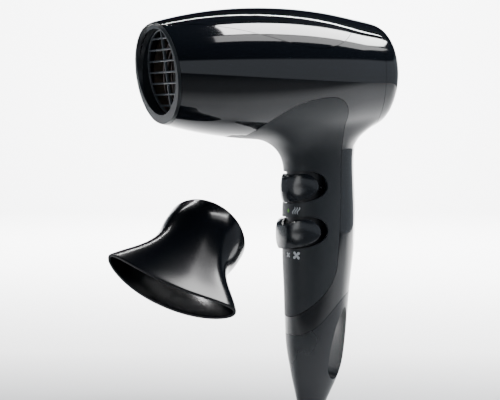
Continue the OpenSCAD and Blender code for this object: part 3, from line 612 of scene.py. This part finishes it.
# ---- Outlet grille ---------------------------------------------------------------------------
# Seven level bars and one upright keep fingers off the heater. The grille is one moulding in
# pale grey heat-resistant polymer, raked like the rim, and it sits in the sleeve behind the bore.
grille_middle = Vector((-94.3, 0, axis_z)) * mm
grille = start("outlet_grille_bars", bpy.ops.mesh.primitive_cylinder_add, vertices=96, radius=23.0 * mm, depth=1.3 * mm,
               location=grille_middle, rotation=(0, math.pi / 2, 0))
pick("faces", lambda f: len(f.verts) > 8)
bpy.ops.mesh.inset(thickness=1.0 * mm)
bpy.ops.mesh.bridge_edge_loops()
for number in range(7):
    height = (number - 3) * 6.0
    half = math.sqrt(22.4 ** 2 - height ** 2)
    bpy.ops.mesh.primitive_cube_add(size=2, location=grille_middle + Vector((0, 0, height * mm)))
    bpy.ops.transform.resize(value=(0.7 * mm, half * mm, 0.55 * mm),
                             center_override=grille_middle + Vector((0, 0, height * mm)))
bpy.ops.mesh.primitive_cube_add(size=2, location=grille_middle)
bpy.ops.transform.resize(value=(0.8 * mm, 0.62 * mm, 22.4 * mm), center_override=grille_middle)
bpy.ops.mesh.select_all(action="SELECT")
bpy.ops.transform.rotate(value=math.radians(8), orient_axis="Y", center_override=grille_middle)
bpy.ops.mesh.normals_make_consistent(inside=False)
bpy.ops.object.mode_set(mode="OBJECT")
apply_modifier(grille, "BEVEL", width=0.3 * mm, segments=3, limit_method="ANGLE", angle_limit=math.radians(40))
bars = Finish("grille_grey", (0.42, 0.45, 0.5), 0.3)
parted = bars.node("ShaderNodeSeparateXYZ", output=1, Vector=bars.place)
raised = bars.node("ShaderNodeSeparateXYZ", output=2, Vector=bars.place) - axis_z * mm
from_axis = (parted * parted + raised * raised).maths("SQRT")
# The outer rim of the grille is painted near black, though it is the same pale grey moulding: painted shade where the
# rim sits deep against the bore.
rim_painted_shade = from_axis.maths("GREATER_THAN", from_axis, 21.9 * mm)
bars.set("Base Color", bars.mix(rim_painted_shade, bars.mix(bars.noise(120), (0.62, 0.66, 0.72), (0.78, 0.81, 0.85)), (0.06, 0.07, 0.08)))
bars.set("Roughness", 0.26 + bars.noise(300) * 0.1)
bars.bump(bars.noise(2400), 0.00001)
finish_piece(grille, bars.material, "body", "grille_grey", "outlet_grille")


# ---- Rockers ---------------------------------------------------------------------------------
# Two rockers in the front of the handle set the heat and the speed. Each has a dished lobe for
# the thumb on either side of an upright ridge, moulded in satin black and turning on a steel pin.
pivot_x = -8.307


def rocker_outline(z):
    return [((-24.4, z + 3.6), (-24.4, z + 3.6), (-20.5, z + 9.5)), ((-8.56, z + 1.3), (-10.56, z + 10.5), (-8.56, z - 3.9)),
            ((-24.4, z - 8.6), (-17, z - 6.3), (-24.4, z - 8.6))]


def lobe_reach(turn, height):
    """How far the rocker's face stands from its pivot, at a turn from the front and a height."""
    side = abs(turn)
    along, off = -math.cos(side), -math.sin(side)
    middle_x, middle_y, sweep = 1.0, 2.4, 16.9
    nearer = along * middle_x + off * middle_y
    reach = nearer + math.sqrt(nearer ** 2 - middle_x ** 2 - middle_y ** 2 + sweep ** 2)
    dish = 0.85 * math.exp(-((math.degrees(side) - 44) / 24) ** 2 - (height / 5.4) ** 2)
    return reach - dish - 1.9 * (abs(height) / 8.5) ** 2.4


rocker_finish = moulded("satin_black_rocker", (0.0125, 0.0155, 0.02), 0.2, grain=1500, depth=0.000006, spread=0.05,
                        tint=0.12, Coat_Weight=0.35, Coat_Roughness=0.12)
for name, node, z in (("heat_rocker_moulding", "heat_rocker", rocker_heights[0]),
                      ("speed_rocker_moulding", "speed_rocker", rocker_heights[1])):
    rocker = start(name, bpy.ops.mesh.primitive_grid_add, x_subdivisions=72, y_subdivisions=24, size=2)
    shape = bmesh.from_edit_mesh(rocker.data)
    for v in shape.verts:
        turn, height = v.co.x * math.radians(89), v.co.y * 11
        reach = lobe_reach(turn, height)
        v.co = Vector((pivot_x - reach * math.cos(turn), -reach * math.sin(turn), z + height)) * mm
    bmesh.update_edit_mesh(rocker.data)
    bpy.ops.mesh.select_all(action="SELECT")
    bpy.ops.mesh.normals_make_consistent(inside=False)
    bpy.ops.object.mode_set(mode="OBJECT")
    apply_modifier(rocker, "SOLIDIFY", thickness=2.6 * mm, offset=-1)
    only(rocker)
    bpy.ops.object.mode_set(mode="EDIT")
    bpy.ops.mesh.select_all(action="SELECT")
    bpy.ops.mesh.normals_make_consistent(inside=False)
    bpy.ops.object.mode_set(mode="OBJECT")
    edge_tool = outline_tool("edge_tool", rocker_outline(z))
    carve(rocker, edge_tool, "INTERSECT")
    bpy.data.objects.remove(edge_tool)
    apply_modifier(rocker, "BEVEL", width=0.35 * mm, segments=3, limit_method="ANGLE", angle_limit=math.radians(50))
    finish_piece(rocker, rocker_finish, node, "rocker_satin", node, sharp=40)


# ---- Printed marks ---------------------------------------------------------------------------
# Marks printed on the grip panel beside the rockers: three waves of warm air and a green dot for
# the heat, a small and a large fan for the speed. Each is a film of ink laid on the panel.
print_turn = math.radians(-60)
print_out = Vector((math.sin(print_turn), -math.cos(print_turn), 0))


def printed(name, middle, shapes, colour):
    """Lays flat shapes, each a list of corners in millimetres, on the panel round a point."""
    made = start(name, bpy.ops.mesh.primitive_plane_add, size=1 * mm)
    bpy.ops.mesh.delete(type="VERT")
    bpy.ops.object.mode_set(mode="OBJECT")
    shape = bmesh.new()
    for corners in shapes:
        shape.faces.new([shape.verts.new((x * mm, y * mm, 0)) for x, y in corners])
    shape.to_mesh(made.data)
    shape.free()
    only(made)
    bpy.ops.object.mode_set(mode="EDIT")
    bpy.ops.mesh.select_all(action="SELECT")
    bpy.ops.mesh.quads_convert_to_tris()
    bpy.ops.mesh.subdivide(number_cuts=1)
    bpy.ops.object.mode_set(mode="OBJECT")
    made.rotation_euler = (math.pi / 2, 0, print_turn)
    made.location = Vector(middle) * mm + print_out * 12 * mm
    bpy.context.view_layer.update()
    wrap = made.modifiers.new("step", "SHRINKWRAP")
    wrap.target = panel
    wrap.wrap_method = "PROJECT"
    wrap.use_project_z = True
    wrap.use_positive_direction = False
    wrap.use_negative_direction = True
    wrap.offset = 0.05 * mm
    bpy.ops.object.modifier_apply(modifier="step")
    apply_modifier(made, "SOLIDIFY", thickness=0.04 * mm, offset=0)
    bpy.ops.object.transform_apply(location=True, rotation=True, scale=True)
    ink = Finish(name + "_ink", colour, 0.5)
    low = tuple(c * 0.8 for c in colour)
    ink.set("Base Color", ink.mix(ink.noise(900), low, colour))
    ink.set("Roughness", 0.45 + ink.noise(700) * 0.15)
    paint(made, ink.material)
    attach(made, "body")
    return made


def wave(x, wide=0.42):
    """One rising S-shaped stroke of warm air, thick in the middle and fine at its ends."""
    left, right = [], []
    for i in range(13):
        t = i / 12
        half = wide * (0.35 + 0.65 * math.sin(math.pi * t))
        middle = x - 0.55 * math.sin(math.tau * (t - 0.04)) + 0.9 * (t - 0.5)
        left.append((middle - half, -2.1 + 4.2 * t))
        right.append((middle + half, -2.1 + 4.2 * t))
    return left + right[::-1]


def fan_blade(turn, size):
    corners = []
    for i in range(9):
        t = i / 8
        corners.append((size * (0.12 + 0.88 * t), size * (0.16 + 0.42 * math.sin(math.pi * t * 0.9))))
    for i in range(9):
        t = 1 - i / 8
        corners.append((size * (0.12 + 0.8 * t), size * (-0.14 + 0.22 * t * t)))
    c, s = math.cos(turn), math.sin(turn)
    return [(x * c - y * s, x * s + y * c) for x, y in corners]


def fan_mark(size):
    hub = [(0.2 * size * math.cos(math.tau * i / 12), 0.2 * size * math.sin(math.tau * i / 12)) for i in range(12)]
    return [fan_blade(math.radians(20 + 90 * i), size) for i in range(4)] + [hub]


white_ink = (0.62, 0.65, 0.68)
printed("heat_waves", (-19.6, -8.0, 3.4), [wave(-1.5), wave(0), wave(1.5)], white_ink)
printed("large_fan_mark", (-19.4, -8.2, -21.6), fan_mark(2.6), white_ink)
printed("small_fan_mark", (-21.3, -2.4, -21.6), fan_mark(1.6), white_ink)
dot = [(0.75 * math.cos(math.tau * i / 20), 1.1 * math.sin(math.tau * i / 20)) for i in range(20)]
printed("cool_dot", (-21.3, -2.4, 3.2), [dot], (0.12, 0.42, 0.03))


# ---- Concentrator ----------------------------------------------------------------------------
# The loose concentrator narrows the air to a flat stream. Its round collar pushes into the
# outlet, and it is moulded in one piece of very glossy black polymer.
# Each ring: distance ahead of the collar's end, half width, half height, squareness, bow
nozzle_rings = [(0, 22.9, 22.9, 2, 0), (0.6, 22.9, 22.9, 2, 0), (5, 22.9, 22.9, 2, 0), (10, 22.75, 22.3, 2, 0),
                (15, 22.0, 20.0, 2.05, 0.1), (21, 21.3, 17.2, 2.15, 0.4), (28, 22.4, 14.8, 2.25, 1.1),
                (35.5, 25.6, 12.6, 2.35, 2.5), (43, 30.0, 10.9, 2.4, 4.5), (50, 34.0, 9.5, 2.4, 6.7),
                (56.5, 36.7, 8.7, 2.4, 8.8), (57.5, 36.9, 8.6, 2.4, 9)]
nozzle = start("concentrator_moulding", bpy.ops.mesh.primitive_circle_add, vertices=48, radius=1,
               rotation=(0, math.pi / 2, 0))
old_width, old_height, old_square = 1, 1, 2
for number, (ahead, half_width, half_height, square, bow) in enumerate(nozzle_rings):
    if number:
        bpy.ops.mesh.extrude_region_move()
    shape = bmesh.from_edit_mesh(nozzle.data)
    for v in shape.verts:
        if not v.select:
            continue
        c = math.copysign(abs(v.co.y / old_width) ** (old_square / 2), v.co.y)
        s = math.copysign(abs(v.co.z / old_height) ** (old_square / 2), v.co.z)
        turn = math.atan2(s, c)
        y = math.copysign(abs(math.cos(turn)) ** (2 / square), math.cos(turn)) * half_width
        z = math.copysign(abs(math.sin(turn)) ** (2 / square), math.sin(turn)) * half_height
        v.co = Vector((-ahead + bow * (y / half_width) ** 2, y, z))
    bmesh.update_edit_mesh(nozzle.data)
    old_width, old_height, old_square = half_width, half_height, square
bpy.ops.mesh.select_all(action="SELECT")
bpy.ops.transform.resize(value=(mm, mm, mm), center_override=(0, 0, 0))
bpy.ops.mesh.normals_make_consistent(inside=False)
bpy.ops.object.mode_set(mode="OBJECT")
apply_modifier(nozzle, "SOLIDIFY", thickness=1.8 * mm, offset=-1, use_even_offset=True)
apply_modifier(nozzle, "BEVEL", width=0.4 * mm, segments=2, limit_method="ANGLE", angle_limit=math.radians(60))
apply_modifier(nozzle, "SUBSURF", levels=2, render_levels=2)
nozzle.rotation_euler = (math.radians(25.68), math.radians(-28.5), math.radians(38.82))
nozzle.location = Vector((-71, 0.4, -8.6)) * mm
only(nozzle)
bpy.ops.object.transform_apply(location=True, rotation=True, scale=True)
nozzle_finish = moulded("gloss_black_nozzle", (0.0025, 0.0035, 0.0058), 0.18, grain=200, depth=0.000001, spread=0.05,
                        tint=0.1, Specular_IOR_Level=0.32)
finish_piece(nozzle, nozzle_finish, "concentrator", "gloss_nozzle", "concentrator")


# ---- Heater ----------------------------------------------------------------------------------
# A tube of mica lines the barrel behind the grille, and two slotted mica boards cross inside it.
# They carry two windings of resistance wire, a bimetal cut-out and a thermal fuse.
def finish_nodes(material, *names):
    for name in names:
        paint(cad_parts[name], material)


# The mica is coloured near black rather than tan: painted shade for the dark inside of the barrel behind the grille.
mica = Finish("mica_painted_shade", (0.05, 0.041, 0.03), 0.42, Coat_Weight=0.3, Coat_Roughness=0.2)
flakes = mica.node("ShaderNodeTexVoronoi", Vector=mica.place, Scale=260.0)
mica.set("Base Color", mica.mix(flakes, (0.03, 0.024, 0.018), (0.075, 0.062, 0.045)))
mica.set("Roughness", 0.34 + mica.noise(400) * 0.2)
mica.bump(mica.noise(90, 5), 0.00005)
finish_nodes(mica.material, "heater_tube", "mica_board_level", "mica_board_upright")
hot_wire = Finish("heating_wire", (0.27, 0.24, 0.23), 0.35, Metallic=1.0)
hot_wire.set("Base Color", hot_wire.mix(hot_wire.noise(240, 4), (0.16, 0.135, 0.15), (0.36, 0.32, 0.29)))
hot_wire.set("Roughness", 0.28 + hot_wire.noise(900) * 0.2)
hot_wire.bump(hot_wire.noise(3000), 0.00001)
finish_nodes(hot_wire.material, "heater_coil_high", "heater_coil_low")


# ---- Motor and fan ---------------------------------------------------------------------------
# A small direct-current motor sits in a vaned mount behind the heater and spins a nine-bladed fan.
# The can is plated steel; the mount, fan and guard are heat-resistant polymer.
def metal(name, colour, roughness, streak=700, **fixed):
    """Plated or drawn metal: an uneven tone, fine drawn lines along the barrel and faint wear."""
    f = Finish(name, colour, roughness, Metallic=1.0, **fixed)
    drawn = f.node("ShaderNodeTexNoise", Scale=streak, Detail=3.0,
                   Vector=f.node("ShaderNodeMapping", Vector=f.place, Scale=(0.05, 1.0, 1.0)))
    worn = f.noise(60, 5)
    f.set("Base Color", f.mix(worn, tuple(c * 0.72 for c in colour), colour))
    f.set("Roughness", roughness - 0.08 + drawn * 0.16)
    f.bump(drawn, 0.000008)
    return f.material


plated = metal("plated_steel", (0.62, 0.63, 0.65), 0.26)
sintered = metal("sintered_bronze", (0.5, 0.35, 0.17), 0.45, streak=2200)
finish_nodes(plated, "motor_can", "motor_shaft", "rocker_pins", "clamp_screws", "shell_screws", "thermal_fuse",
             "filter_mesh")
finish_nodes(sintered, "front_bearing", "rear_bearing")
winding = metal("enamelled_copper", (0.52, 0.21, 0.08), 0.3, streak=1800, Coat_Weight=0.4)
finish_nodes(winding, "armature", "commutator")
heatproof = moulded("heatproof_polymer", (0.014, 0.015, 0.018), 0.42, grain=1300, depth=0.00002)
finish_nodes(heatproof, "motor_mount", "fan_guard", "impeller", "switch_carrier", "filter_frame", "thermostat")
ferrite = Finish("sintered_ferrite", (0.06, 0.06, 0.066), 0.6)
ferrite.set("Base Color", ferrite.mix(ferrite.noise(700, 5), (0.035, 0.035, 0.04), (0.09, 0.09, 0.098)))
ferrite.set("Roughness", 0.52 + ferrite.noise(500) * 0.2)
ferrite.bump(ferrite.noise(1800), 0.00004)
finish_nodes(ferrite.material, "motor_magnets", "motor_brushes")
ivory = moulded("ivory_polymer", (0.68, 0.66, 0.58), 0.4, grain=900, depth=0.00002, tint=0.06)
finish_nodes(ivory, "motor_end_cap", "terminal_block", "cord_clamp")
soft_rubber = moulded("soft_rubber", (0.018, 0.019, 0.021), 0.62, grain=1700, depth=0.00004)
finish_nodes(soft_rubber, "motor_sleeve", "cord_gland")


# ---- Switch board and wiring -----------------------------------------------------------------
# A lacquered board behind the rockers carries the two switches, four rectifier diodes and a film
# capacitor, and two insulated wires run up from it to the motor and heater.
board = Finish("lacquered_board", (0.03, 0.14, 0.06), 0.3, Coat_Weight=0.5, Coat_Roughness=0.1)
tracks = board.node("ShaderNodeTexVoronoi", {"feature": "DISTANCE_TO_EDGE"}, 0, Vector=board.place, Scale=330.0)
edge = board.node("ShaderNodeMapRange", None, 0, Value=tracks, **{"From_Min": 0.03, "From_Max": 0.08})
board.set("Base Color", board.mix(edge, (0.10, 0.26, 0.09), (0.02, 0.10, 0.045)))
board.set("Roughness", 0.24 + board.noise(500) * 0.12)
board.bump(edge, 0.00002)
finish_nodes(board.material, "switch_board")
finish_nodes(moulded("switch_black", (0.03, 0.031, 0.034), 0.38, grain=1100), "heat_switch", "speed_switch",
             "rectifier_diodes")
finish_nodes(moulded("capacitor_yellow", (0.62, 0.38, 0.03), 0.28, grain=500, tint=0.1), "noise_capacitor")
finish_nodes(moulded("wire_red", (0.42, 0.03, 0.025), 0.4, grain=900, tint=0.12), "wiring_loom")
for tool in [master, seat, hollow, shell, cover_inside, cap_inside, loop_tool, cord_hole, top_tool, top_tool_wide,
             grip_tool, grip_tool_wide, end_tool, end_tool_wide, cap_cut, cap_cut_wide, rim_cut, ring_cut, face_cut, sleeve, mouth, throat, *window_tools]:
    bpy.data.objects.remove(tool)
